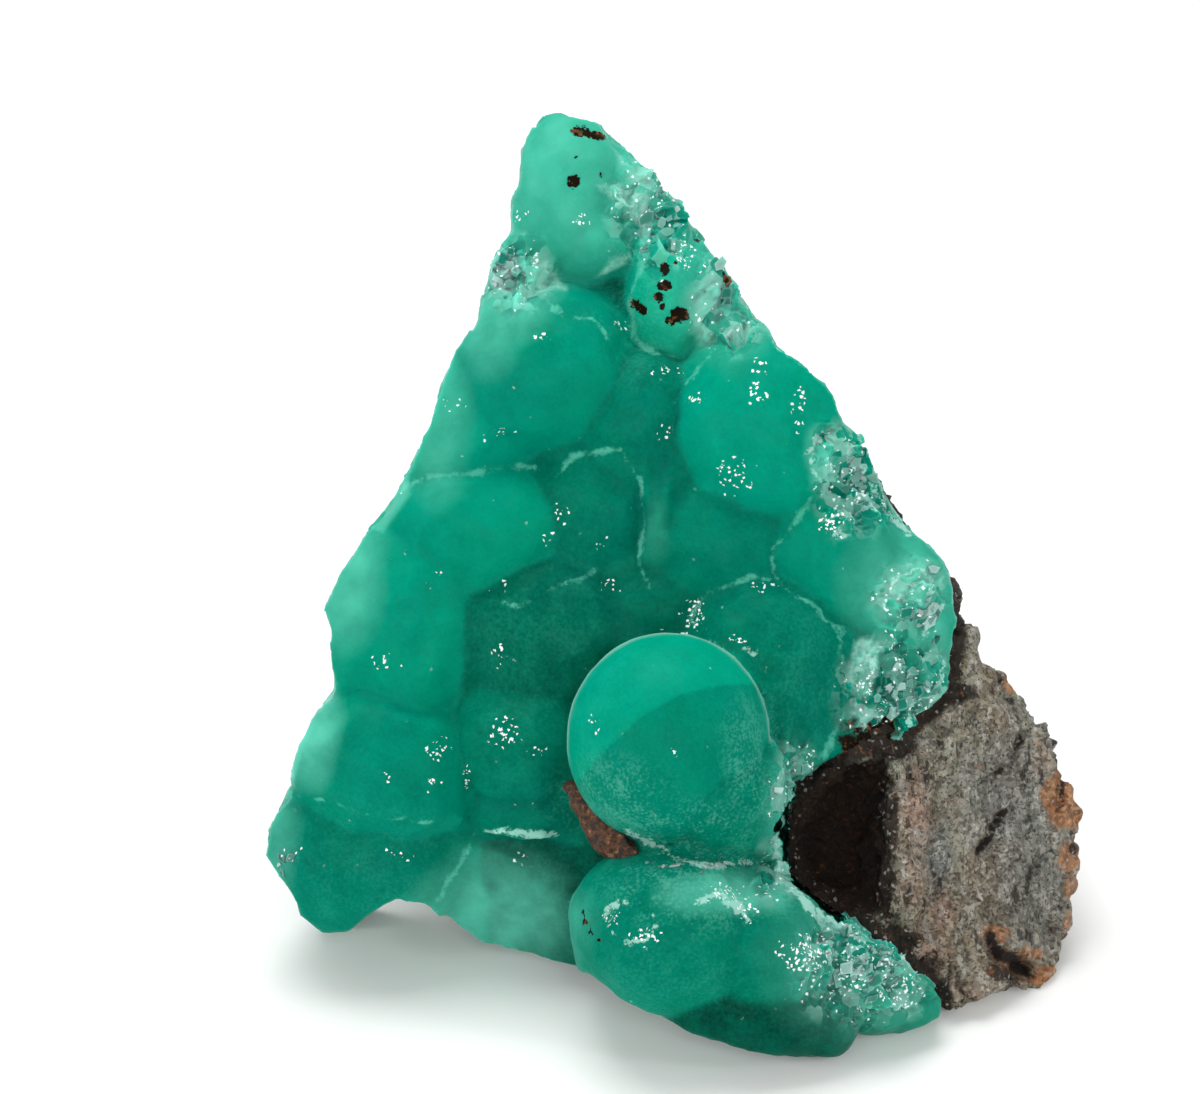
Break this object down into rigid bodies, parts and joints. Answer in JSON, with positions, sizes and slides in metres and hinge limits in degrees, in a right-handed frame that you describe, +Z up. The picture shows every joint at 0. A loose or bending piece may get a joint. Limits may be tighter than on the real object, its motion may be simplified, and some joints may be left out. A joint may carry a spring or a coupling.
{
  "type": "botryoidal smithsonite specimen",
  "caption": "Triangular mineral specimen: a blue-green bubbly smithsonite crust leaning on grey matrix rock with a dark hollow, standing on its broken base.",
  "frame": {"origin": "middle of the underside of the bounding box, on the surface that the specimen stands on", "axes": "+X to the viewer's right, +Y away from the viewer, +Z up; the bubbly face looks towards -Y and leans back"},
  "size_m": [0.0546, 0.0448, 0.0526],
  "materials": {
    "teal_smithsonite": "translucent and glassy, with a sparkling crystal skin",
    "grey_rock": "rough and granular, with rusty edges",
    "limonite": "earthy dark brown"
  },
  "bodies": {
    "root": {"smithsonite_crust": "teal_smithsonite", "matrix_rock": "grey_rock", "limonite_blade": "limonite"}
  },
  "joints": []
}
